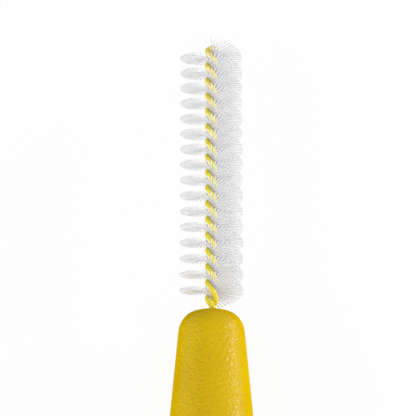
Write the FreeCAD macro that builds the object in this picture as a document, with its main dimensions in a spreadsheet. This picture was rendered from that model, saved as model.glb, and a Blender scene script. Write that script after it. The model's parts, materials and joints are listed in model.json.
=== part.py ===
import FreeCAD, Part
import math
import os

import Sketcher

# Interdental brush, in millimetres.
# It lies on the flat underside of its grip, with the bristle tip towards +Y and +Z up, and the
# origin is on that surface under the middle of the whole brush. Every sub-part is drawn about
# one axis, with y = 0 where the wire leaves the handle, and is then placed by the same shift.

Vector = FreeCAD.Vector

# Driving sizes: name, value, what it measures

LENGTHS = [
    ("strand_diameter", 0.285, "wire with its coat, before it is twisted"),
    ("core_diameter", 0.18, "steel wire inside the coat"),
    ("coat_clearance", 0.003, "drawn gap between steel and coat"),
    ("filament_diameter", 0.06, "one nylon filament"),
    ("pinch_clearance", 0.005, "drawn gap between a filament and what presses on it"),
    ("layer_gap", 0.036, "room between the two layers of filaments"),
    ("bristle_diameter", 3.5, "from one end of a filament to the other"),
    ("twist_pitch", 1.854, "length of one full turn of the wire"),
    ("bare_wire_length", 1.01, "from the handle to the last filament"),
    ("wire_embed", 5.5, "depth of the wire's cut ends in the handle"),
    ("socket_clearance", 0.01, "drawn gap round the wire and past its ends"),
    ("dome_top_diameter", 2.26, "flat end of the neck, where the wire goes in"),
    ("shoulder_radius", 0.4, "rounded edge of that flat end"),
    ("neck_diameter", 3.6, "foot of the dome"),
    ("dome_height", 0.94, "from the flat end to the foot of the dome"),
    ("grip_start", 25.2, "from the flat end to where the neck's taper meets the grip"),
    ("grip_width", 8.0, "across the grip"),
    ("hip_radius", 40.0, "easing between the taper and the grip"),
    ("grip_thickness", 4.8, "from one flat of the grip to the other"),
    ("handle_length", 48.0, "from the flat end to the tail"),
    ("rim_radius", 0.3, "rounding between the flats and the sides"),
    ("pad_length", 14.0, "finger pad, a shallow recess in each flat"),
    ("pad_width", 4.6, "across the finger pad"),
    ("pad_depth", 0.35, "from the flat down to the pad's floor"),
    ("pad_middle", 30.0, "from the flat end to the middle of the pad"),
    ("rib_radius", 0.45, "rounded back of a rib in the pad"),
    ("rib_spacing", 2.2, "from one rib to the next"),
    ("rib_drop", 0.05, "how far a rib's back stays under the flat"),
    ("cut_overrun", 1.0, "how far a cut runs past what it cuts"),
]

ANGLES = [
    ("pad_draft", 30.0, "lean of the pad's wall, in degrees"),
]

COUNTS = [
    ("row_count", 16, "rows of filaments, each half a turn long"),
    ("filaments_per_row", 25, "filaments in one row"),
    ("half_turns_below_rows", 2, "twist that goes on below the last row"),
    ("runs_per_half_turn", 5, "straight runs that stand for the curve of a strand"),
    ("runs_per_bend", 7, "straight runs in each half of the loop at the tip"),
    ("strand_sides", 6, "flats that stand for the round coat"),
    ("core_sides", 4, "flats that stand for the round steel"),
    ("filament_sides", 3, "flats that stand for a round filament"),
    ("ribs_per_pad", 5, "ribs across one finger pad"),
]

doc = FreeCAD.newDocument("interdental_brush")
sheet = doc.addObject("Spreadsheet::Sheet", "sizes")
for line, (name, value, meaning) in enumerate(LENGTHS + ANGLES + COUNTS, start=1):
    sheet.set(f"A{line}", name)
    sheet.set(f"B{line}", str(value))
    sheet.set(f"C{line}", meaning)
    sheet.setAlias(f"B{line}", name)
doc.recompute()


def number(formula):
    """The present value of a formula of sizes, the same text that an object is bound to."""
    return float(sheet.evalExpression(formula))


def count(name):
    return int(sheet.get(name))


# Formulas that more than one piece follows

# The filaments lie in two layers between the strands, one against each strand.
LAYER_OFFSET = "((sizes.filament_diameter + sizes.layer_gap) / 2)"
HELIX_RADIUS = (
    f"(sizes.strand_diameter / 2 + {LAYER_OFFSET} + sizes.filament_diameter / 2"
    " + sizes.pinch_clearance)"
)
# The runs of a strand touch the helix at their middles, so their corners stand further out.
CORNER_RADIUS = f"({HELIX_RADIUS} / cos(90 deg / sizes.runs_per_half_turn))"
FILAMENT_ADVANCE = "(sizes.twist_pitch / 2 / sizes.filaments_per_row)"
ROWS_LENGTH = f"({FILAMENT_ADVANCE} * (sizes.row_count * sizes.filaments_per_row - 1))"
FIRST_FILAMENT = f"(sizes.bare_wire_length + {ROWS_LENGTH})"
TIP = f"({FIRST_FILAMENT} + {CORNER_RADIUS} + sizes.strand_diameter / 2)"
HALF_THICKNESS = "(sizes.grip_thickness / 2)"

SAME_PLACE = 1e-6


def place(piece):
    """Lift a piece from the drawing axis to where the brush lies, centred on its length."""
    piece.setExpression("Placement.Base.y", f"(sizes.handle_length - {TIP}) / 2")
    piece.setExpression("Placement.Base.z", HALF_THICKNESS)


# Sketch helpers


def new_body(label):
    body = doc.addObject("PartDesign::Body", label)
    body.Label = label
    return body


def origin_feature(body, role):
    return next(item for item in body.Origin.OriginFeatures if item.Role == role)


def new_sketch(body, name, plane, height=None):
    """A sketch on one of the body's own planes, or at a bound height over it."""
    sketch = body.newObject("Sketcher::SketchObject", name)
    sketch.AttachmentSupport = (origin_feature(body, plane), [""])
    sketch.MapMode = "FlatFace"
    if height:
        sketch.setExpression("AttachmentOffset.Base.z", height)
    return sketch


# A sketch numbers the points of a curve, and its own two axes count as curves.
START, END, CENTRE = range(1, 4)
H_AXIS, V_AXIS = range(-1, -3, -1)
ORIGIN = (H_AXIS, START)


def bind(sketch, kind, geometry, formula):
    """Add a dimension, on a whole curve or between two points, and bind it to a formula."""
    index = sketch.addConstraint(Sketcher.Constraint(kind, *geometry, number(formula)))
    sketch.setExpression(f"Constraints[{index}]", formula)


def pin(sketch, point, x=None, y=None):
    """Fix a point's distance from the sketch origin along one axis or both."""
    for kind, formula in (("DistanceX", x), ("DistanceY", y)):
        if formula is None:
            continue
        if number(formula) < 0:
            bind(sketch, kind, (*point, *ORIGIN), f"-({formula})")
        else:
            bind(sketch, kind, (*ORIGIN, *point), formula)


def add_line(sketch, start, end):
    """A straight edge, as the sketch points where it starts and ends."""
    index = sketch.addGeometry(Part.LineSegment(start, end))
    return (index, START), (index, END)


def add_arc(sketch, centre, start, end, clockwise):
    """An arc from start to end, as the sketch points where it starts and ends."""
    first, last = (end, start) if clockwise else (start, end)
    from_angle = math.atan2(first.y - centre.y, first.x - centre.x)
    to_angle = math.atan2(last.y - centre.y, last.x - centre.x)
    if to_angle <= from_angle:
        to_angle += 2 * math.pi
    circle = Part.Circle(centre, Vector(0, 0, 1), centre.distanceToPoint(start))
    index = sketch.addGeometry(Part.ArcOfCircle(circle, from_angle, to_angle))
    return ((index, END), (index, START)) if clockwise else ((index, START), (index, END))


def join(sketch, kind, point, other):
    sketch.addConstraint(Sketcher.Constraint(kind, *point, *other))


def add_rectangle(sketch, left, right, low, high):
    """A rectangle between four bound distances from the sketch origin."""
    xs = [number(left), number(right)]
    ys = [number(low), number(high)]
    corners = [Vector(xs[0], ys[0]), Vector(xs[1], ys[0]), Vector(xs[1], ys[1]), Vector(xs[0], ys[1])]
    lines = [add_line(sketch, a, b) for a, b in zip(corners, corners[1:] + corners[:1])]
    for (_, end), (start, _) in zip(lines, lines[1:] + lines[:1]):
        join(sketch, "Coincident", end, start)
    for (start, _), kind in zip(lines, ("Horizontal", "Vertical", "Horizontal", "Vertical")):
        sketch.addConstraint(Sketcher.Constraint(kind, start[0]))
    pin(sketch, lines[0][0], left, low)
    pin(sketch, lines[2][0], right, high)


def right_of(heading):
    return Vector(heading.y, -heading.x)


def two_arcs(start, heading, radius, end, end_heading):
    """Two arcs in a row that leave start and reach end along given headings.

    Both turn right, and the first one's radius r is given. With D the way from its centre to
    the end, and n to the right of the end heading, the second radius is
    (r^2 - D.D) / (2 (D.n + r)). Returns both centres and the point between the arcs.
    """
    centre = start + right_of(heading) * radius
    way = end - centre
    far_radius = (radius**2 - way.dot(way)) / (2 * (way.dot(right_of(end_heading)) + radius))
    far_centre = end + right_of(end_heading) * far_radius
    middle = centre - (far_centre - centre) * (radius / (far_radius - radius))
    return centre, far_centre, middle


# Handle: a turned outline, cut flat above and below, with a ribbed pad for the finger on each
# flat and a socket for the wire in the end of its neck.

NECK_RADIUS = "(sizes.neck_diameter / 2)"
GRIP_RADIUS = "(sizes.grip_width / 2)"
SOCKET_RADIUS = f"({CORNER_RADIUS} + sizes.strand_diameter / 2 + sizes.socket_clearance)"
SOCKET_DEPTH = "(sizes.wire_embed + sizes.socket_clearance)"
END_ARC_RADIUS = "(sizes.pad_width / 2)"
END_ARC_OFFSET = "((sizes.pad_length - sizes.pad_width) / 2)"
RIB_HEIGHT = f"({HALF_THICKNESS} - sizes.rib_drop - sizes.rib_radius)"
FIRST_RIB = "(-sizes.pad_middle - (sizes.ribs_per_pad - 1) * sizes.rib_spacing / 2)"


def draw_outline(sketch):
    """Half of the handle's outline, from the flat end of the neck round to the tail."""
    radius = number(GRIP_RADIUS)
    edge = Vector(number("sizes.dome_top_diameter / 2"), 0)
    neck_foot = Vector(number(NECK_RADIUS), -number("sizes.dome_height"))
    hip = Vector(radius, -number("sizes.grip_start"))
    tail = Vector(0, -number("sizes.handle_length"))
    tail_centre = tail + Vector(0, radius)
    side_end = tail_centre + Vector(radius, 0)

    along_neck = (hip - neck_foot).normalize()
    backward = Vector(0, -1)
    hip_radius = number("sizes.hip_radius")
    reach = hip_radius * math.tan(along_neck.getAngle(backward) / 2)
    neck_end = hip - along_neck * reach
    side_start = hip + backward * reach
    hip_centre = side_start - Vector(hip_radius, 0)
    shoulder_centre, dome_centre, meeting = two_arcs(
        edge, Vector(1, 0), number("sizes.shoulder_radius"), neck_foot, along_neck
    )

    flat_end = add_line(sketch, Vector(0, 0), edge)
    shoulder = add_arc(sketch, shoulder_centre, edge, meeting, clockwise=True)
    dome = add_arc(sketch, dome_centre, meeting, neck_foot, clockwise=True)
    neck = add_line(sketch, neck_foot, neck_end)
    easing = add_arc(sketch, hip_centre, neck_end, side_start, clockwise=True)
    side = add_line(sketch, side_start, side_end)
    end = add_arc(sketch, tail_centre, side_end, tail, clockwise=True)
    axis = add_line(sketch, tail, Vector(0, 0))

    smooth = [flat_end, shoulder, dome, neck, easing, side, end]
    for before, after in zip(smooth, smooth[1:]):
        join(sketch, "Tangent", before[1], after[0])
    join(sketch, "Coincident", end[1], axis[0])
    for point in (axis[1], flat_end[0]):
        join(sketch, "Coincident", point, ORIGIN)
    # The taper and the side, drawn on, would meet at the hip.
    corner = (sketch.addGeometry(Part.Point(hip), True), START)
    for line in (neck, side):
        sketch.addConstraint(Sketcher.Constraint("PointOnObject", *corner, line[0][0]))
    sketch.addConstraint(Sketcher.Constraint("Horizontal", flat_end[0][0]))
    sketch.addConstraint(Sketcher.Constraint("Vertical", side[0][0]))
    sketch.addConstraint(Sketcher.Constraint("Vertical", axis[0][0]))
    sketch.addConstraint(Sketcher.Constraint("PointOnObject", end[0][0], CENTRE, V_AXIS))
    bind(sketch, "Radius", (shoulder[0][0],), "sizes.shoulder_radius")
    bind(sketch, "Radius", (easing[0][0],), "sizes.hip_radius")
    pin(sketch, flat_end[1], x="sizes.dome_top_diameter / 2")
    pin(sketch, neck[0], NECK_RADIUS, "-sizes.dome_height")
    pin(sketch, corner, GRIP_RADIUS, "-sizes.grip_start")
    pin(sketch, axis[0], y="-sizes.handle_length")


def draw_pad(sketch):
    """A long oval: two half circles joined by straight sides."""
    middle = -number("sizes.pad_middle")
    offset = number(END_ARC_OFFSET)
    radius = number(END_ARC_RADIUS)
    front = Vector(0, middle + offset)
    back = Vector(0, middle - offset)
    across = Vector(radius, 0)
    front_arc = add_arc(sketch, front, front + across, front - across, clockwise=False)
    left = add_line(sketch, front - across, back - across)
    back_arc = add_arc(sketch, back, back - across, back + across, clockwise=False)
    right = add_line(sketch, back + across, front + across)
    around = [front_arc, left, back_arc, right]
    for before, after in zip(around, around[1:] + around[:1]):
        join(sketch, "Tangent", before[1], after[0])
    sketch.addConstraint(Sketcher.Constraint("Vertical", left[0][0]))
    bind(sketch, "Radius", (front_arc[0][0],), END_ARC_RADIUS)
    for arc, formula in ((front_arc, END_ARC_OFFSET), (back_arc, f"(-{END_ARC_OFFSET})")):
        centre = (arc[0][0], CENTRE)
        sketch.addConstraint(Sketcher.Constraint("PointOnObject", *centre, V_AXIS))
        pin(sketch, centre, y=f"{formula} - sizes.pad_middle")


def cut(body, name, sketch, length=None, **settings):
    """A pocket, checked to have taken something away."""
    before = body.Shape.Volume
    pocket = body.newObject("PartDesign::Pocket", name)
    pocket.Profile = sketch
    for key, value in settings.items():
        setattr(pocket, key, value)
    if length:
        pocket.setExpression("Length", length)
    doc.recompute()
    if not body.Shape.Volume < before:
        raise RuntimeError(f"{name} cut nothing")
    return pocket


def make_handle():
    body = new_body("handle")
    outline = new_sketch(body, "handle_outline", "XY_Plane")
    draw_outline(outline)
    turned = body.newObject("PartDesign::Revolution", "turned_form")
    turned.Profile = outline
    turned.ReferenceAxis = (outline, ["V_Axis"])
    doc.recompute()

    # Flats above and below, which run out where the neck is thinner than the grip
    flats = new_sketch(body, "flats_outline", "YZ_Plane")
    reach = ("-sizes.handle_length - sizes.cut_overrun", "sizes.cut_overrun")
    outside = f"{GRIP_RADIUS} + sizes.cut_overrun"
    add_rectangle(flats, *reach, HALF_THICKNESS, outside)
    add_rectangle(flats, *reach, f"-({outside})", f"-{HALF_THICKNESS}")
    flat_cut = cut(body, "flats", flats, Type="ThroughAll", Midplane=True)

    # Rounding all along the rim of each flat
    level = number(HALF_THICKNESS)
    rims = []
    for index, edge in enumerate(flat_cut.Shape.Edges, start=1):
        box = edge.BoundBox
        if box.ZLength < SAME_PLACE and abs(abs(box.ZMin) - level) < SAME_PLACE:
            rims.append(f"Edge{index}")
    rounding = body.newObject("PartDesign::Fillet", "rim_rounding")
    rounding.Base = (flat_cut, rims)
    rounding.setExpression("Radius", "sizes.rim_radius")
    doc.recompute()

    # Socket for the wire
    socket = new_sketch(body, "socket_outline", "XZ_Plane")
    circle = socket.addGeometry(Part.Circle(Vector(0, 0), Vector(0, 0, 1), number(SOCKET_RADIUS)))
    join(socket, "Coincident", (circle, CENTRE), ORIGIN)
    bind(socket, "Radius", (circle,), SOCKET_RADIUS)
    cut(body, "socket", socket, SOCKET_DEPTH, Reversed=True)

    for side, sign in (("upper", ""), ("lower", "-")):
        pad = new_sketch(body, f"{side}_pad_outline", "XY_Plane", f"{sign}{HALF_THICKNESS}")
        draw_pad(pad)
        pocket = cut(body, f"{side}_pad", pad, "sizes.pad_depth", Reversed=bool(sign))
        pocket.setExpression("TaperAngle", "-sizes.pad_draft")
        rib = new_sketch(body, f"{side}_rib_outline", "YZ_Plane")
        height = f"{sign}{RIB_HEIGHT}"
        centre = Vector(number(FIRST_RIB), number(height))
        back = rib.addGeometry(Part.Circle(centre, Vector(0, 0, 1), number("sizes.rib_radius")))
        pin(rib, (back, CENTRE), FIRST_RIB, height)
        bind(rib, "Radius", (back,), "sizes.rib_radius")
        first = body.newObject("PartDesign::Pad", f"{side}_rib")
        first.Profile = rib
        first.Midplane = True
        first.setExpression("Length", "sizes.pad_width")
        doc.recompute()
        ribs = body.newObject("PartDesign::LinearPattern", f"{side}_ribs")
        ribs.Originals = [first]
        ribs.Direction = (rib, ["H_Axis"])
        ribs.setExpression("Length", "(sizes.ribs_per_pad - 1) * sizes.rib_spacing")
        ribs.setExpression("Occurrences", "sizes.ribs_per_pad")
        body.Tip = ribs
        doc.recompute()
    place(body)
    return body


# Wire: one steel wire in a plastic coat, bent double at the tip and twisted left-handed round
# the filaments, with its two cut ends side by side in the handle.


def strand_points():
    """The corners of the wire's straight runs, from one cut end round the tip to the other.

    A point of the helix at a drop d below the first filament stands at the angle
    -360 d / pitch about the axis, measured from +X towards +Z.
    """
    radius = number(CORNER_RADIUS)
    pitch = number("sizes.twist_pitch")
    top = number(FIRST_FILAMENT)
    runs = count("runs_per_half_turn")
    run_drop = pitch / 2 / runs
    run_total = runs * (count("row_count") + count("half_turns_below_rows"))

    def on_helix(index, drop):
        angle = -math.pi * index / runs
        return Vector(radius * math.cos(angle), top - drop, radius * math.sin(angle))

    # The twist slackens over its last run, which takes two drops.
    last = on_helix(run_total, run_drop * (run_total + 1))
    end = Vector(last.x, -number("sizes.wire_embed"), last.z)
    rising = [end, last] + [on_helix(i, run_drop * i) for i in range(run_total - 1, -1, -1)]

    # Half of the loop is one arc, which leaves the helix along its slope and crosses the axis
    # one radius above the first filament.
    start = rising[-1]
    heading = Vector(0, pitch, 2 * math.pi * radius).normalize()
    crest = Vector(0, top + radius, 0)
    chord = crest - start
    inward = heading.cross(chord).cross(heading).normalize()
    centre = start + inward * (chord.dot(chord) / (2 * chord.dot(inward)))
    outward = ((start + crest) / 2 - centre).normalize()
    bend = Part.Arc(start, centre + outward * centre.distanceToPoint(start), crest)
    rising += bend.discretize(count("runs_per_bend") + 1)[1:]

    # The other leg is the same one, turned half a turn about the axis.
    falling = [Vector(-point.x, point.y, -point.z) for point in reversed(rising[:-1])]
    return rising + falling


def draw_section(sketch, diameter, sides):
    """A regular outline with its corners on a circle."""
    radius = number(f"{diameter} / 2")
    corners = [
        Vector(radius * math.cos(2 * math.pi * i / sides), radius * math.sin(2 * math.pi * i / sides))
        for i in range(sides)
    ]
    lines = [add_line(sketch, a, b) for a, b in zip(corners, corners[1:] + corners[:1])]
    circle = sketch.addGeometry(Part.Circle(Vector(0, 0), Vector(0, 0, 1), radius), True)
    join(sketch, "Coincident", (circle, CENTRE), ORIGIN)
    bind(sketch, "Radius", (circle,), f"{diameter} / 2")
    for (_, end), (start, _) in zip(lines, lines[1:] + lines[:1]):
        join(sketch, "Coincident", end, start)
        sketch.addConstraint(Sketcher.Constraint("PointOnObject", *start, circle))
    for line in lines[1:]:
        sketch.addConstraint(Sketcher.Constraint("Equal", lines[0][0][0], line[0][0]))
    sketch.addConstraint(Sketcher.Constraint("PointOnObject", *lines[0][0], H_AXIS))


def make_wire(label, path, sections):
    """A section, solid or hollow, carried along the wire's path."""
    body = new_body(label)
    outline = new_sketch(body, f"{label}_section", "XZ_Plane", "sizes.wire_embed")
    outline.setExpression("AttachmentOffset.Base.x", CORNER_RADIUS)
    for diameter, sides in sections:
        draw_section(outline, diameter, sides)
    doc.recompute()
    pipe = body.newObject("PartDesign::AdditivePipe", f"{label}_run")
    pipe.Profile = outline
    pipe.Spine = (path, [f"Edge{i + 1}" for i in range(len(path.Shape.Edges))])
    pipe.Transition = "Right corner"
    doc.recompute()
    place(body)
    return body


# Filaments: straight threads between the two strands, in two layers with the brush's axis
# between them. Each thread is turned and set back a little from the one before, and lies in the
# other layer, so that threads of one layer lie side by side and half a turn makes a row.


def lean_of_threads(blank, step):
    """How many degrees a thread leans along the brush, so that it passes its neighbours.

    Two threads in a row are in different layers, and they cross outside the wire. They are one
    advance apart along the brush, and where the edge of one meets the middle of the other they
    need a thread's height and a clearance. The threads of one layer lean up on the side where
    those of the other lean down, so each of the two gives half of what is missing.
    """
    apart = number(f"2 * {LAYER_OFFSET} - sizes.filament_diameter / 2")
    meeting = apart / math.sin(math.radians(step))
    height = blank.Shape.BoundBox.YLength
    missing = height + number(f"sizes.pinch_clearance - {FILAMENT_ADVANCE}")
    return math.degrees(math.atan2(max(missing, 0), 2 * meeting))


def make_row(label, first, blank):
    step = 180 / count("filaments_per_row")
    lean = lean_of_threads(blank, step)
    advance = number(FILAMENT_ADVANCE)
    top = number(FIRST_FILAMENT)
    offset = number(LAYER_OFFSET)
    threads = []
    for index in range(first, first + count("filaments_per_row")):
        thread = blank.Shape.copy()
        # The first filament stands straight up, and each next one leans towards +X.
        turn = FreeCAD.Rotation(Vector(0, 1, 0), step * index)
        drop = Vector(0, top - advance * index, 0)
        side = 1 if index % 2 else -1
        leaning = FreeCAD.Rotation(Vector(1, 0, 0), -side * lean)
        layer = FreeCAD.Placement(Vector(side * offset, 0, 0), leaning)
        thread.Placement = FreeCAD.Placement(drop, turn) * layer * thread.Placement
        threads.append(thread)
    row = doc.addObject("Part::Feature", label)
    row.Label = label
    row.Shape = Part.makeCompound(threads)
    place(row)
    return row


path = doc.addObject("Part::Feature", "wire_path")
path.Shape = Part.makePolygon(strand_points())

blank = doc.addObject("Part::Prism", "filament_blank")
blank.setExpression("Polygon", "sizes.filament_sides")
blank.setExpression("Circumradius", "sizes.filament_diameter / 2")
blank.setExpression("Height", "sizes.bristle_diameter")
# A corner of the section points along the brush, so the flats face the strands.
blank.Placement.Rotation = FreeCAD.Rotation(Vector(0, 0, 1), 90)
blank.setExpression("Placement.Base.z", "-sizes.bristle_diameter / 2")
doc.recompute()

COAT = ("sizes.strand_diameter", count("strand_sides"))
BORE = ("(sizes.core_diameter + 2 * sizes.coat_clearance)", count("core_sides"))
CORE = ("sizes.core_diameter", count("core_sides"))

pieces = [
    make_handle(),
    make_wire("core_wire", path, [CORE]),
    make_wire("wire_coating", path, [COAT, BORE]),
]
for row in range(count("row_count")):
    pieces.append(make_row(f"filaments_{row + 1:02d}", row * count("filaments_per_row"), blank))
doc.recompute()

# Every object is checked before any file is written.

for item in doc.Objects:
    if "Invalid" in item.State or "Error" in item.State:
        raise RuntimeError(f"{item.Label} did not compute: {item.State}")
for piece in pieces:
    if piece.Shape.isNull() or not piece.Shape.isValid():
        raise RuntimeError(f"{piece.Label} has no valid shape")

os.makedirs("parts", exist_ok=True)
for piece in pieces:
    piece.Shape.exportStep(f"parts/{piece.Label}.step")
    print(piece.Label, len(piece.Shape.Solids), "solids,", round(piece.Shape.Volume, 4), "mm3")
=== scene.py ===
# %% [markdown]
# # An interdental brush
#
# The brush is a yellow moulded handle, a plastic-coated steel wire that is bent double and
# twisted, and hundreds of nylon filaments pinched between the two strands of that wire. The
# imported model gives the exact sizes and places. This file gives each piece its fine shape and
# its finish, and sets up the floor, the light and the camera.

import json
import math

import bpy
import numpy as np
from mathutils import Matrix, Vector

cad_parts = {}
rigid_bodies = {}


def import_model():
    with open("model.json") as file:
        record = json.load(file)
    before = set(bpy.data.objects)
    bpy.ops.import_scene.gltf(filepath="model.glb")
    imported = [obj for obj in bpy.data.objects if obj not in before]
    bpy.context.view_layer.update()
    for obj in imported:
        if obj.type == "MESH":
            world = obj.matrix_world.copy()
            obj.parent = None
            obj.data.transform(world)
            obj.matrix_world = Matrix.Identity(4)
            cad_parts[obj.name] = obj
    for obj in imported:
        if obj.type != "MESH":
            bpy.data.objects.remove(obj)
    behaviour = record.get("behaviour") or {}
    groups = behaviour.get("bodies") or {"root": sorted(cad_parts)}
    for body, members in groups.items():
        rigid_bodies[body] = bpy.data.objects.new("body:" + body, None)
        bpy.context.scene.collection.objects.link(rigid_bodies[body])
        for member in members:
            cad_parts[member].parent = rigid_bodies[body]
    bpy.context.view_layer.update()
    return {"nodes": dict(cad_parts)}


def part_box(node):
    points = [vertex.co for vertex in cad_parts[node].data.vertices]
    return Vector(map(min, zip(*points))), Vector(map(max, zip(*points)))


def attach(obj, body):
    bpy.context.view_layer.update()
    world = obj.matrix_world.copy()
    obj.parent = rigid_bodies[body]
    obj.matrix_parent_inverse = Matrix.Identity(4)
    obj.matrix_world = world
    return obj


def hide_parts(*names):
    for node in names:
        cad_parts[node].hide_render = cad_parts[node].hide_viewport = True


for leftover in list(bpy.data.objects):
    bpy.data.objects.remove(leftover)

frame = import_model()
print("packed nodes:", len(frame["nodes"]))

# %% [markdown]
# ## Sizes
#
# The wire and the filaments are made again here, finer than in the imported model, so their
# sizes are repeated in millimetres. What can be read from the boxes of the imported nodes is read
# from them: the height of the brush's axis, and the places of the first filament, the tip and
# the cut ends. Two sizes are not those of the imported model, to follow the photograph better:
# the crest of the loop at the tip is a hair lower, and the threads are 0.07 mm thick, not 0.06.

# %% Sizes of the wire and the filaments
MM = 0.001

STRAND_DIAMETER = 0.285
CORE_BORE = 0.186
HELIX_RADIUS = 0.2255
FILAMENT_DIAMETER = 0.07
TWIST_PITCH = 1.854
SLACKENING_LENGTH = 1.2
CREST_DROP = 0.05
LOOP_FULLNESS = 1.6
ROW_COUNT = 16
FILAMENTS_PER_ROW = 25

LAYER_OFFSET = HELIX_RADIUS - STRAND_DIAMETER / 2 - FILAMENT_DIAMETER / 2
FILAMENT_ADVANCE = TWIST_PITCH / 2 / FILAMENTS_PER_ROW
TURN_PER_MM = 2 * math.pi / TWIST_PITCH


def box_in_mm(node):
    """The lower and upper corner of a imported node's box."""
    return np.array([list(corner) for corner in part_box(node)]) / MM


first_row = box_in_mm("filaments_01")
last_row = box_in_mm(f"filaments_{ROW_COUNT:02d}")
wire_box = box_in_mm("wire_coating")
AXIS_HEIGHT = first_row[:, 2].mean()
BRISTLE_RADIUS = np.ptp(first_row[:, 2]) / 2
ROW_MARGIN = (np.ptp(first_row[:, 1]) - FILAMENT_ADVANCE * (FILAMENTS_PER_ROW - 1)) / 2
FIRST_FILAMENT = first_row[1, 1] - ROW_MARGIN
LAST_FILAMENT = last_row[0, 1] + ROW_MARGIN
TIP_CREST = wire_box[1, 1] - STRAND_DIAMETER / 2 - CREST_DROP
CUT_END = wire_box[0, 1]
HANDLE_END = box_in_mm("handle")[1, 1]
print("axis height", round(AXIS_HEIGHT, 3), "first filament", round(FIRST_FILAMENT, 3),
      "last", round(LAST_FILAMENT, 3), "bristle radius", round(BRISTLE_RADIUS, 3), "mm")

# %% [markdown]
# ## From arrays to a mesh
#
# Every new surface here is a grid of points worked out with numpy. One helper joins
# neighbouring points by four-sided faces, and closes the grid on itself in the directions where
# the real surface goes all the way round. The other puts points and faces into a mesh.

# %% Mesh helpers


def grid_faces(rows, columns, rows_closed, columns_closed):
    """Faces between neighbouring points of a grid, numbered row by row.

    The corners of face (i, j) are (i, j), (i, j+1), (i+1, j+1) and (i+1, j), where a number past
    the last row or column starts again at 0 if the grid is closed that way.
    """
    i = np.arange(rows if rows_closed else rows - 1)[:, None]
    j = np.arange(columns if columns_closed else columns - 1)[None, :]
    next_i, next_j = (i + 1) % rows, (j + 1) % columns
    corners = [i * columns + j, i * columns + next_j, next_i * columns + next_j, next_i * columns + j]
    return np.stack(np.broadcast_arrays(*corners), axis=-1).reshape(-1, 4)


def new_piece(name, points_mm, face_lists, smooth=True):
    """A mesh object from points in millimetres and lists of faces, at the origin."""
    mesh = bpy.data.meshes.new(name)
    points = np.asarray(points_mm, dtype=np.float64).reshape(-1, 3) * MM
    sizes = np.concatenate([np.full(len(faces), faces.shape[1]) for faces in face_lists])
    corners = np.concatenate([faces.ravel() for faces in face_lists])
    mesh.vertices.add(len(points))
    mesh.vertices.foreach_set("co", points.ravel())
    mesh.loops.add(len(corners))
    mesh.loops.foreach_set("vertex_index", corners)
    mesh.polygons.add(len(sizes))
    mesh.polygons.foreach_set("loop_start", np.cumsum(sizes) - sizes)
    mesh.polygons.foreach_set("use_smooth", np.full(len(sizes), smooth))
    mesh.update(calc_edges=True)
    mesh.validate()
    piece = bpy.data.objects.new(name, mesh)
    bpy.context.scene.collection.objects.link(piece)
    return piece


# %% [markdown]
# ## The twisted wire
#
# One coated wire is bent double, the filaments are laid between its two legs, and a machine
# turns the legs round each other until they grip. So each leg is a left-handed helix, and the
# two meet in a small loop at the tip. Below the last filament the twist goes on into the
# handle, where it slackens out of sight. The line of the wire is worked out once, as an array
# of points, and the round coat is carried along it as a tube with a hole for the steel.

# %% The line that the wire follows


def leg_line(samples_per_turn=48):
    """One leg, from its cut end up to the height of the first filament.

    At a drop d below the first filament the leg stands at the angle -2 pi d / pitch, measured
    from +X towards +Z. In the handle the rate of turn falls evenly to nothing.
    """
    even_drop = FIRST_FILAMENT - HANDLE_END
    end_drop = FIRST_FILAMENT - CUT_END
    turning = np.linspace(0, even_drop, int(even_drop / TWIST_PITCH * samples_per_turn))
    slackening = even_drop + np.linspace(0, SLACKENING_LENGTH, samples_per_turn)[1:]
    drop = np.concatenate([turning, slackening, [end_drop]])[::-1]
    past = np.clip(drop - even_drop, 0, SLACKENING_LENGTH)
    angle = -TURN_PER_MM * (np.minimum(drop, even_drop) + past - past**2 / (2 * SLACKENING_LENGTH))
    x, z = HELIX_RADIUS * np.cos(angle), HELIX_RADIUS * np.sin(angle)
    return np.stack([x, FIRST_FILAMENT - drop, z], axis=-1)


def half_loop(samples=24):
    """Half of the loop at the tip, as a cubic curve from the top of the leg to the crest.

    It leaves along the slope of the helix and crosses the axis level, heading against the other
    leg's last heading turned flat: P(t) is the Hermite blend of both points and both headings.
    """
    start = np.array([HELIX_RADIUS, FIRST_FILAMENT, 0])
    crest = np.array([0, TIP_CREST, 0])
    slope = np.array([0, TWIST_PITCH, 2 * math.pi * HELIX_RADIUS])
    slope = slope / np.linalg.norm(slope)
    level = np.array([-slope[1], 0, -slope[2]])
    stretch = LOOP_FULLNESS * np.linalg.norm(crest - start)
    t = np.linspace(0, 1, samples)[1:, None]
    return ((2 * t**3 - 3 * t**2 + 1) * start + (t**3 - 2 * t**2 + t) * stretch * slope
            + (3 * t**2 - 2 * t**3) * crest + (t**3 - t**2) * stretch * level)


rising = np.concatenate([leg_line(), half_loop()])
falling = rising[-2::-1] * [-1, 1, -1]
wire_line = np.concatenate([rising, falling])
wire_length = float(np.linalg.norm(np.diff(wire_line, axis=0), axis=1).sum())
print("wire line:", len(wire_line), "points,", round(wire_length, 2), "mm long")

# %% The coat of the wire


def tube_along(line, radii, sides):
    """Rings of points round a line: P + r (cos v N + sin v B).

    T is the line's heading, N points away from the brush's axis (or from the axis point level
    with the first filament, above it), made square to T, and B = T x N.
    """
    heading = np.gradient(line, axis=0)
    heading /= np.linalg.norm(heading, axis=1, keepdims=True)
    from_axis = line.copy()
    from_axis[:, 1] = np.maximum(line[:, 1] - FIRST_FILAMENT, 0)
    normal = from_axis - (from_axis * heading).sum(axis=1, keepdims=True) * heading
    normal /= np.linalg.norm(normal, axis=1, keepdims=True)
    binormal = np.cross(heading, normal)
    v = np.arange(sides) * 2 * math.pi / sides
    ring = np.cos(v)[None, :, None] * normal[:, None] + np.sin(v)[None, :, None] * binormal[:, None]
    return line[:, None] + radii[:, None, None] * ring


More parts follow.
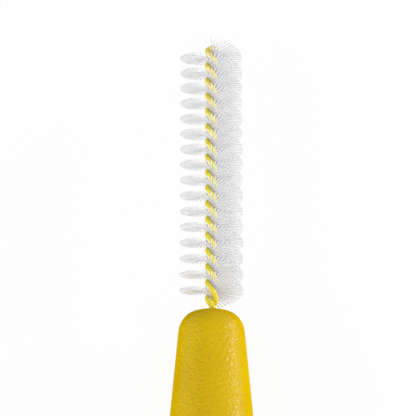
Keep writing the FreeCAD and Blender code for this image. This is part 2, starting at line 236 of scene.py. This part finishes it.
COAT_SIDES = 20
outside = tube_along(wire_line, np.full(len(wire_line), STRAND_DIAMETER / 2), COAT_SIDES)
inside = tube_along(wire_line, np.full(len(wire_line), CORE_BORE / 2), COAT_SIDES)
coat_points = np.concatenate([outside, inside[::-1]]) + [0, 0, AXIS_HEIGHT]
coat_faces = grid_faces(len(coat_points), COAT_SIDES, rows_closed=True, columns_closed=True)
coat = new_piece("coat_of_the_wire", coat_points, [coat_faces])
print("coat faces:", len(coat_faces))

# %% [markdown]
# Below the last filament nothing holds the strands apart, and the two coats have run together.
# A web of the same plastic fills the gap between them there: a round section that turns with
# the strands, full from the handle on, and rounded off just under the last filament.

# %% The web where the coats have run together
WEB_DEPTH_IN_HANDLE = 0.1
WEB_FOOT = HANDLE_END - WEB_DEPTH_IN_HANDLE
WEB_TOP = LAST_FILAMENT - FILAMENT_DIAMETER
WEB_HALF_WIDTH = 0.125
WEB_HALF_THICKNESS = 0.125
WEB_LAST_RING = 0.999


def web_between_strands(rings=24, sides=16):
    """Rings of points C + w cos v R + h(t) sin v S, from t = 0 in the handle to the top.

    C is the point of the axis, R points from it to the first strand, S is square to R and level,
    w is half the web's width and h(t) = half its thickness times the square root of 1 - t^8. The
    last ring stands just short of t = 1, where a flat cap closes it.
    """
    t = np.linspace(0, WEB_LAST_RING, rings)
    y = WEB_FOOT + t * (WEB_TOP - WEB_FOOT)
    angle = -TURN_PER_MM * (FIRST_FILAMENT - y)
    outward = np.stack([np.cos(angle), np.zeros(rings), np.sin(angle)], axis=-1)[:, None]
    sideways = np.stack([-np.sin(angle), np.zeros(rings), np.cos(angle)], axis=-1)[:, None]
    centre = np.stack([np.zeros(rings), y, np.full(rings, AXIS_HEIGHT)], axis=-1)[:, None]
    v = (np.arange(sides) * 2 * math.pi / sides)[None, :, None]
    half = (WEB_HALF_THICKNESS * np.sqrt(1 - t**8))[:, None, None]
    return centre + WEB_HALF_WIDTH * np.cos(v) * outward + half * np.sin(v) * sideways


web_points = web_between_strands()
web_sides = grid_faces(*web_points.shape[:2], rows_closed=False, columns_closed=True)
first_ring = np.arange(web_points.shape[1])
web_caps = np.array([first_ring, first_ring[::-1] + web_points[:-1, :, 0].size])
web = new_piece("web_of_the_coat", web_points, [web_sides[:, ::-1], web_caps])
print("web faces:", len(web.data.polygons))

# %% [markdown]
# ## The filaments
#
# Each filament is a nylon thread that crosses the axis between the strands. The next one is
# turned a little further and sits a little lower, so that half a turn of the wire makes one
# row. Pressed by the strands, the threads settle on either side of the axis by turns, and each
# one bows past its neighbours just outside the wire. Further out they all point straight away
# from the axis. Cutting leaves the ends blunt with slightly rounded edges, and each thread gets
# a small seeded lean and length of its own.

# %% Rows of filaments
END_ROUNDING = 0.012
END_WIDTH_SHARE = 0.6
RING_PLACES = np.array([0.12, 0.32, 0.52, 0.9, BRISTLE_RADIUS - END_ROUNDING, BRISTLE_RADIUS])
RING_PLACES = np.concatenate([-RING_PLACES[::-1], RING_PLACES])
RING_WIDTH_SHARES = np.where(np.abs(RING_PLACES) < BRISTLE_RADIUS, 1.0, END_WIDTH_SHARE)
FILAMENT_SIDES = 5
PASSING_MM = 0.017
PASSING_PLACE = 0.42
LAYER_REACH = 0.5
LEAN_DEGREES = 0.15
TRIM_MM = 0.006
chance = np.random.default_rng(7)


def filament_rows():
    """All filaments as points [filament, ring, side].

    Filament j points along D = (sin a, 0, cos a), with a = j half turns / filaments per row, E is
    across it and Y along the brush. At a distance x from the axis its middle is at
    C + x D + o exp(-(x / layer reach)^2) E + p (x / q) exp((1 - (x / q)^2) / 2) Y. Here o is the
    layer's offset, to either side by turns, and p the way by which it passes its neighbours at
    the distance q.
    """
    total = ROW_COUNT * FILAMENTS_PER_ROW
    j = np.arange(total)
    side = np.where(j % 2, 1.0, -1.0)[:, None, None]
    lean, rise = np.radians(chance.normal(0, LEAN_DEGREES, (2, total)))
    angle = math.pi / FILAMENTS_PER_ROW * j + lean
    direction = np.stack([np.sin(angle), rise, np.cos(angle)], axis=-1)[:, None]
    across = np.stack([np.cos(angle), np.zeros(total), -np.sin(angle)], axis=-1)[:, None]
    along = np.array([0.0, 1.0, 0.0])
    drop = FIRST_FILAMENT - j * FILAMENT_ADVANCE
    centre = np.stack([np.zeros(total), drop, np.full(total, AXIS_HEIGHT)], axis=-1)[:, None]
    trim = 1 - chance.uniform(0, TRIM_MM, total)[:, None, None] / BRISTLE_RADIUS
    x = RING_PLACES[None, :, None] * trim
    layer = side * LAYER_OFFSET * np.exp(-(x / LAYER_REACH) ** 2) * across
    share = x / PASSING_PLACE
    passing = side * PASSING_MM * share * np.exp((1 - share**2) / 2) * along
    middle = centre + x * direction + layer + passing
    v = (np.arange(FILAMENT_SIDES) + 0.5) * 2 * math.pi / FILAMENT_SIDES
    radius = FILAMENT_DIAMETER / 2 * RING_WIDTH_SHARES[None, :, None, None]
    ring = np.cos(v)[:, None] * along + np.sin(v)[:, None] * across[:, :, None]
    return middle[:, :, None] + radius * ring


def filament_faces(count):
    """The faces of one filament, side faces and two end caps, repeated for a whole row."""
    rings = len(RING_PLACES)
    side = grid_faces(rings, FILAMENT_SIDES, rows_closed=False, columns_closed=True)
    first_cap = np.arange(FILAMENT_SIDES)[None, ::-1]
    last_cap = (rings - 1) * FILAMENT_SIDES + np.arange(FILAMENT_SIDES)[None, :]
    shift = (np.arange(count) * rings * FILAMENT_SIDES)[:, None, None]
    sides = (side[None] + shift).reshape(-1, 4)
    caps = (np.concatenate([first_cap, last_cap])[None] + shift).reshape(-1, FILAMENT_SIDES)
    return [sides[:, ::-1], caps[:, ::-1]]


threads = filament_rows()
rows = []
for row in range(ROW_COUNT):
    share = threads[row * FILAMENTS_PER_ROW:(row + 1) * FILAMENTS_PER_ROW]
    rows.append(new_piece(f"filament_row_{row + 1:02d}", share, filament_faces(len(share))))
print("filaments:", len(threads), "faces each:", len(rows[0].data.polygons) // FILAMENTS_PER_ROW)

# %% [markdown]
# ## Shader maths
#
# A finish is a tree of small nodes. Written as Python expressions it stays readable: a Field
# wraps one output of a node, and the usual operators make the Math nodes between them. Colours
# and vectors go through Vector Math and Mix, which keep all three channels.

# %% Shader helpers


def paint(red, green, blue):
    """A colour as it looks on a screen, 0 to 255, turned into the light values of a shader."""
    screen = np.array([red, green, blue]) / 255
    light = np.where(screen <= 0.04045, screen / 12.92, ((screen + 0.055) / 1.055) ** 2.4)
    return (*light.tolist(), 1.0)


class Field:
    """A number, vector or colour that may change over a surface: one output of a node."""

    def __init__(self, finish, socket):
        self.finish = finish
        self.socket = socket

    def combine(self, operation, first, second):
        pair = [item.socket.type if isinstance(item, Field) else None for item in (first, second)]
        kind = "ShaderNodeVectorMath" if "VECTOR" in pair or "RGBA" in pair else "ShaderNodeMath"
        return self.finish.node(kind, {0: first, 1: second}, {"operation": operation})

    def __add__(self, other):
        return self.combine("ADD", self, other)

    def __sub__(self, other):
        return self.combine("SUBTRACT", self, other)

    def __mul__(self, other):
        return self.combine("MULTIPLY", self, other)


class Finish:
    """The nodes of one material, or of the world, empty to start with."""

    def __init__(self, owner, output="ShaderNodeOutputMaterial"):
        owner.use_nodes = True
        self.owner = owner
        self.output = output
        self.tree = owner.node_tree
        self.tree.nodes.clear()

    def node(self, kind, sockets=None, settings=None, out=0):
        """A node of a kind, with values or links for its sockets, and its settings if any."""
        made = self.tree.nodes.new(kind)
        for name, value in (settings or {}).items():
            setattr(made, name, value)
        for key, value in (sockets or {}).items():
            if isinstance(value, Field):
                self.tree.links.new(value.socket, made.inputs[key])
            elif made.inputs[key].type in ("VECTOR", "RGBA") and isinstance(value, (int, float)):
                made.inputs[key].default_value = (value,) * len(made.inputs[key].default_value)
            else:
                made.inputs[key].default_value = value
        return Field(self, made.outputs[out])

    def place(self):
        """Object coordinates, in metres from the brush's origin."""
        return self.node("ShaderNodeTexCoord", out="Object")

    def noise(self, place, scale, detail=2.0, out="Fac"):
        """A soft random pattern whose features are about 1 / scale metres across."""
        sockets = {"Vector": place, "Scale": scale, "Detail": detail}
        return self.node("ShaderNodeTexNoise", sockets, out=out)

    def mix(self, factor, first, second):
        """A colour between two, the second one where the factor is 1."""
        sockets = {0: factor, 6: first, 7: second}
        return self.node("ShaderNodeMix", sockets, {"data_type": "RGBA"}, out=2)

    def range(self, value, low, high, to_low=0.0, to_high=1.0):
        """The value carried evenly from one range to another, and held at its ends."""
        sockets = {0: value, 1: low, 2: high, 3: to_low, 4: to_high}
        return self.node("ShaderNodeMapRange", sockets, {"clamp": True})

    def ray_is(self, *kinds):
        """1 for a ray of one of these kinds, else 0."""
        first, *others = [self.node("ShaderNodeLightPath", out=kind) for kind in kinds]
        return self.node("ShaderNodeMath", {0: sum(others, first), 1: 1.0}, {"operation": "MINIMUM"})

    def blend(self, share, first, second):
        """The first shader, and the second one in its place by the given share."""
        return self.node("ShaderNodeMixShader", {0: share, 1: first, 2: second})

    def surface(self, shader):
        """Puts the shader on the output, and gives back the finished material or world."""
        output = self.tree.nodes.new(self.output)
        self.tree.links.new(shader.socket, output.inputs["Surface"])
        return self.owner


# %% [markdown]
# ## Finishes
#
# The handle is moulded in yellow plastic. Its mould was eroded, which leaves a fine leather-like
# grain: small bulges about 0.18 mm across, some of them rubbed shiny and some dull. Under a
# thin light from the side, only the shiny ones glint, which breaks the highlight up into specks.
# A picture of the grain would blur this close, so the bulges are Voronoi cells pushed about by
# noise, and a second noise makes them shiny or dull. Seen at a slant the bulges hide the shiny
# spots behind one another, so Layer Weight fades the gloss out there.

# %% Moulded handle
GRAIN_CELLS_PER_M = 5600.0
GRAIN_HEIGHT = 0.03 * MM
GRAIN_SWAY = 0.2 * MM
SWAY_SCALE, FINE_SCALE, CLOUD_SCALE, RUBBED_SCALE = 3000.0, 14000.0, 260.0, 8000.0
DULL_BELOW, SHINY_ABOVE = 0.44, 0.56
SHINY, DULL = 0.23, 0.6
GLOSS_FADES_FROM, GLOSS_GONE_AT = 0.32, 0.55
HANDLE_SHADES = paint(214, 174, 2), paint(222, 187, 4)
HANDLE_IOR, HANDLE_GLOSS = 1.46, 0.19


def handle_finish():
    finish = Finish(bpy.data.materials.new("moulded_yellow"))
    place = finish.place()
    sway = finish.noise(place, SWAY_SCALE, out="Color") - (0.5, 0.5, 0.5)
    swayed = place + sway * (GRAIN_SWAY, GRAIN_SWAY, GRAIN_SWAY)
    bulges = finish.node("ShaderNodeTexVoronoi", {
        "Vector": swayed, "Scale": GRAIN_CELLS_PER_M, "Smoothness": 0.5}, {"feature": "SMOOTH_F1"})
    fine = finish.noise(place, FINE_SCALE)
    cloud = finish.noise(place, CLOUD_SCALE)
    rubbed = finish.noise(place, RUBBED_SCALE, detail=1.0)
    slant = finish.node("ShaderNodeLayerWeight", {"Blend": 0.5}, out="Facing")
    bump = finish.node("ShaderNodeBump", {
        "Strength": 1.0, "Distance": GRAIN_HEIGHT, "Height": fine * 0.35 - bulges})
    tone = finish.range(fine * 0.4 + cloud * 0.6, 0.35, 0.65)
    colour = finish.mix(tone, *HANDLE_SHADES)
    grain = finish.range(rubbed, DULL_BELOW, SHINY_ABOVE, DULL, SHINY)
    glossy = finish.node("ShaderNodeBsdfPrincipled", {
        "Base Color": colour, "Roughness": grain, "Normal": bump,
        "IOR": HANDLE_IOR, "Specular IOR Level": HANDLE_GLOSS})
    dull = finish.node("ShaderNodeBsdfPrincipled", {
        "Base Color": colour, "Roughness": DULL, "Normal": bump, "Specular IOR Level": 0.0})
    hidden = finish.range(slant, GLOSS_FADES_FROM, GLOSS_GONE_AT)
    return finish.surface(finish.blend(hidden, glossy, dull))


# %% [markdown]
# The coat of the wire is drawn on smooth, so it is glossier and a little paler, and slightly
# uneven where the filaments press in. The steel inside is drawn wire with fine streaks along
# the brush.

# %% Coat and core of the wire
DENT_SCALE = 5000.0
DENT_DEPTH = 0.01 * MM
COAT_SHADES = paint(245, 224, 40), paint(252, 236, 68)
STREAK_SCALE = (20000.0, 400.0, 20000.0)
STEEL_SHADES = paint(150, 152, 156), paint(205, 206, 210)


def coat_finish():
    finish = Finish(bpy.data.materials.new("wire_coat_yellow"))
    place = finish.place()
    dents = finish.noise(place, DENT_SCALE)
    bump = finish.node("ShaderNodeBump", {"Strength": 0.6, "Distance": DENT_DEPTH, "Height": dents})
    colour = finish.mix(finish.range(dents, 0.35, 0.65), *COAT_SHADES)
    shader = finish.node("ShaderNodeBsdfPrincipled", {
        "Base Color": colour, "Roughness": finish.range(dents, 0.3, 0.7, 0.28, 0.4), "Normal": bump})
    return finish.surface(shader)


def steel_finish():
    finish = Finish(bpy.data.materials.new("drawn_steel"))
    place = finish.place()
    streaks = finish.noise(place * STREAK_SCALE, 1.0)
    shader = finish.node("ShaderNodeBsdfPrincipled", {
        "Base Color": finish.mix(streaks, *STEEL_SHADES), "Metallic": 1.0,
        "Roughness": finish.range(streaks, 0.3, 0.7, 0.25, 0.45)})
    return finish.surface(shader)


# %% [markdown]
# Nylon thread is clear to milky. Against white it looks pale grey. Among the roots, where many
# threads and the wire shade each other, the colour holds a painted shade, faintly violet, mixed
# in by the distance from the brush's axis. Most of the light that reaches a thread goes on
# through it to the threads behind, so a shadow ray or a bounced ray finds it mostly clear. To the
# camera the thread is a plain milky surface.

# %% Nylon filaments
LIGHT_THROUGH_A_THREAD = 0.8
MILKINESS_SCALE = 2500.0
NYLON_SHADES = paint(221, 221, 224), paint(234, 234, 237)
# painted shade: the violet-grey colour of the threads among the roots
NYLON_PAINTED_ROOT_SHADE = paint(217, 219, 243)
ROOTS_END, PALE_FROM = 0.2 * MM, 0.9 * MM
NYLON_IOR = 1.53


def nylon_finish():
    finish = Finish(bpy.data.materials.new("clear_nylon"))
    place = finish.place()
    from_axis = (place - (0.0, 0.0, AXIS_HEIGHT * MM)) * (1.0, 0.0, 1.0)
    radius = finish.node("ShaderNodeVectorMath", {0: from_axis}, {"operation": "LENGTH"}, out="Value")
    cloud = finish.noise(place, MILKINESS_SCALE)
    pale = finish.mix(finish.range(cloud, 0.3, 0.7), *NYLON_SHADES)
    # painted shade among the roots: full near the axis, gone further out
    root = finish.range(radius, ROOTS_END, PALE_FROM, 1.0, 0.0)
    colour = finish.mix(root, pale, NYLON_PAINTED_ROOT_SHADE)
    nylon = finish.node("ShaderNodeBsdfPrincipled", {
        "Base Color": colour, "Roughness": finish.range(cloud, 0.3, 0.7, 0.25, 0.4), "IOR": NYLON_IOR})
    passed = finish.ray_is("Is Shadow Ray", "Is Diffuse Ray") * LIGHT_THROUGH_A_THREAD
    clear = finish.node("ShaderNodeBsdfTransparent")
    return finish.surface(finish.blend(passed, nylon, clear))


# %% Put the finishes on the pieces
finishes = {"handle": handle_finish(), "coat": coat_finish(), "steel": steel_finish(),
            "nylon": nylon_finish()}

frame["nodes"]["handle"].material_slots[0].material = finishes["handle"]
frame["nodes"]["core_wire"].material_slots[0].material = finishes["steel"]
coat.data.materials.append(finishes["coat"])
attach(coat, "root")
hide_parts("wire_coating")
web.data.materials.append(finishes["coat"])
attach(web, "root")
for row, piece in enumerate(rows, start=1):
    piece.data.materials.append(finishes["nylon"])
    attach(piece, "root")
    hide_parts(f"filaments_{row:02d}")
print("finishes:", ", ".join(finishes))

# %% [markdown]
# ## Floor, light and camera
#
# The photograph shows the brush on plain white. The floor is pale and keeps a faint shadow, and
# where the camera sees it, directly or in a gloss, it is nearly white by itself, so no extra
# light falls on the brush. The sky is soft and gets dimmer towards the tip, which leaves the
# rounded end of the neck a little darker, as in the photograph. A long light on the left and a
# thin one on the right draw the bands along the handle's sides. The thin one makes the grain
# glint. A wide one on the handle's side fills the shade.

# %% Floor and backdrop
FLOOR_HALF = 3000.0
FLOOR_GAP = 0.005
FLOOR_WHITENESS = 0.94
FLOOR_COLOUR = (0.97, 0.97, 0.97, 1.0)
SKY_FROM_THE_HANDLE, SKY_FROM_THE_TIP = 1.0, 0.08
WHITE = (1.0, 1.0, 1.0, 1.0)


def shows_as_background(finish):
    """1 for a ray that comes from the camera, from a gloss or through something clear, else 0."""
    return finish.ray_is("Is Camera Ray", "Is Glossy Ray", "Is Transmission Ray")


def floor_finish():
    finish = Finish(bpy.data.materials.new("white_floor"))
    white = finish.node("ShaderNodeEmission", {"Color": WHITE, "Strength": 1.0})
    matte = finish.node("ShaderNodeBsdfDiffuse", {"Color": FLOOR_COLOUR})
    share = shows_as_background(finish) * FLOOR_WHITENESS
    return finish.surface(finish.blend(share, matte, white))


def studio_sky():
    sky = Finish(bpy.data.worlds.new("studio"), "ShaderNodeOutputWorld")
    toward = sky.node("ShaderNodeTexCoord", out="Generated")
    to_the_tip = sky.node("ShaderNodeSeparateXYZ", {"Vector": toward}, out="Y")
    strength = sky.range(to_the_tip, -1.0, 1.0, SKY_FROM_THE_HANDLE, SKY_FROM_THE_TIP)
    soft = sky.node("ShaderNodeBackground", {"Color": WHITE, "Strength": strength})
    white = sky.node("ShaderNodeBackground", {"Color": WHITE, "Strength": 1.0})
    return sky.surface(sky.blend(shows_as_background(sky), soft, white))


floor_corners = np.array([[-1, -1, 0], [1, -1, 0], [1, 1, 0], [-1, 1, 0]]) * FLOOR_HALF
floor_corners -= [0, 0, FLOOR_GAP]
floor = new_piece("floor", floor_corners, [np.array([[0, 1, 2, 3]])], smooth=False)
floor.data.materials.append(floor_finish())
bpy.context.scene.world = studio_sky()
print("sky:", SKY_FROM_THE_HANDLE, "behind the handle,", SKY_FROM_THE_TIP, "beyond the tip")

# %% Lights and camera
AIM = Vector((-0.19, 22.20, 2.4)) * MM
CAMERA_ELEVATION = math.radians(67.96)
CAMERA_DISTANCE = 150 * MM
VIEW_ANGLE = math.radians(8.72)


def soft_light(name, place_mm, width_mm, length_mm, power):
    """A square-cornered soft lamp that faces the point the camera aims at."""
    lamp = bpy.data.lights.new(name, "AREA")
    lamp.shape = "RECTANGLE"
    lamp.size = width_mm * MM
    lamp.size_y = length_mm * MM
    lamp.energy = power
    holder = bpy.data.objects.new(name, lamp)
    holder.location = Vector(place_mm) * MM
    toward = AIM - holder.location
    holder.rotation_euler = toward.to_track_quat("-Z", "Y").to_euler()
    bpy.context.scene.collection.objects.link(holder)


soft_light("left_light", (-250, -60, 130), 320, 60, 0.29)
soft_light("right_light", (252, 110, 65), 160, 26, 0.44)
soft_light("handle_side_light", (0, -300, 200), 400, 400, 0.52)

view = bpy.data.cameras.new("view")
view.sensor_fit = "HORIZONTAL"
view.angle = VIEW_ANGLE
view.clip_start = 1 * MM
camera = bpy.data.objects.new("view", view)
back = Vector((0, -math.cos(CAMERA_ELEVATION), math.sin(CAMERA_ELEVATION)))
camera.location = AIM + CAMERA_DISTANCE * back
camera.rotation_euler = (math.pi / 2 - CAMERA_ELEVATION, 0, 0)
bpy.context.scene.collection.objects.link(camera)
bpy.context.scene.camera = camera
bpy.context.scene.view_settings.view_transform = "Standard"
